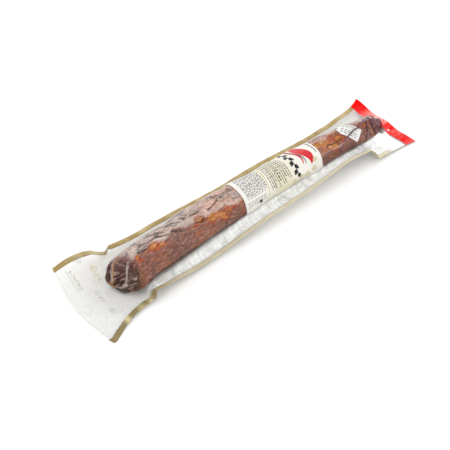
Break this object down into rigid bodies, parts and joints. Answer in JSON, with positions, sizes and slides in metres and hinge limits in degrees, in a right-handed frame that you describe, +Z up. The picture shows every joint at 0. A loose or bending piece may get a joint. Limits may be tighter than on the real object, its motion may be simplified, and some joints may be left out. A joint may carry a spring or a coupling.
{
  "type": "cured pork loin",
  "caption": "Long whole cured pork loin in a clear vacuum pouch with gold edges, a red end band, a wrapped paper label, a paper tag and dark twine, lying flat.",
  "frame": {"origin": "on the table, under the middle of the whole pack's box", "axes": "+X along the loin towards its tied end and the red end band, +Z up, -Y towards the side that the picture shows"},
  "size_m": [0.6486, 0.146, 0.0632],
  "materials": {
    "cured_meat": "satin, wrinkled casing",
    "clear_film": "clear, high gloss, creased",
    "gold_print": "satin gold ink under film",
    "red_print": "gloss red ink under film",
    "label_paper": "coated paper, cream white",
    "tag_paper": "matt white paper",
    "twine": "dark twisted twine"
  },
  "bodies": {
    "root": {"loin": "cured_meat", "bag": "clear_film", "gold_edge_front": "gold_print", "gold_edge_back": "gold_print", "red_end_band": "red_print", "label": "label_paper", "tag": "tag_paper", "twine": "twine", "neck_tie": "twine"}
  },
  "joints": []
}
